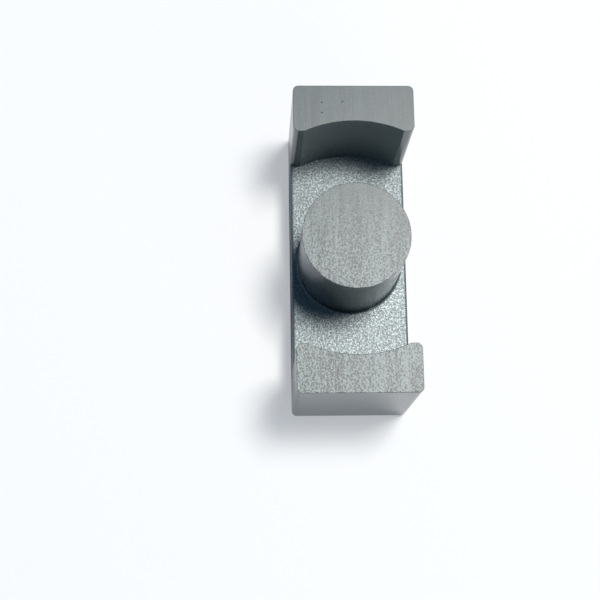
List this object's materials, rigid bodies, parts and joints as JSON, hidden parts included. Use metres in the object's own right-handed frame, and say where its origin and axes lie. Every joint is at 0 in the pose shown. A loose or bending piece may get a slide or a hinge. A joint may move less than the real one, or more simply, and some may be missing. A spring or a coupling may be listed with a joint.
{
  "type": "ferrite e core",
  "caption": "Ferrite E core half: a round centre post between outer legs whose inner faces are hollowed to follow a wound bobbin.",
  "frame": {"origin": "centre of the flat back face, on which the core stands", "axes": "+X along the core from leg to leg, +Y across its width, +Z out of the mouth of the winding window"},
  "size_m": [0.0288, 0.0112, 0.014],
  "materials": {
    "ferrite": "sintered ferrite, as pressed on the sides and the window floor, ground flat on the mating faces"
  },
  "bodies": {
    "root": {"core": "ferrite"}
  },
  "joints": []
}
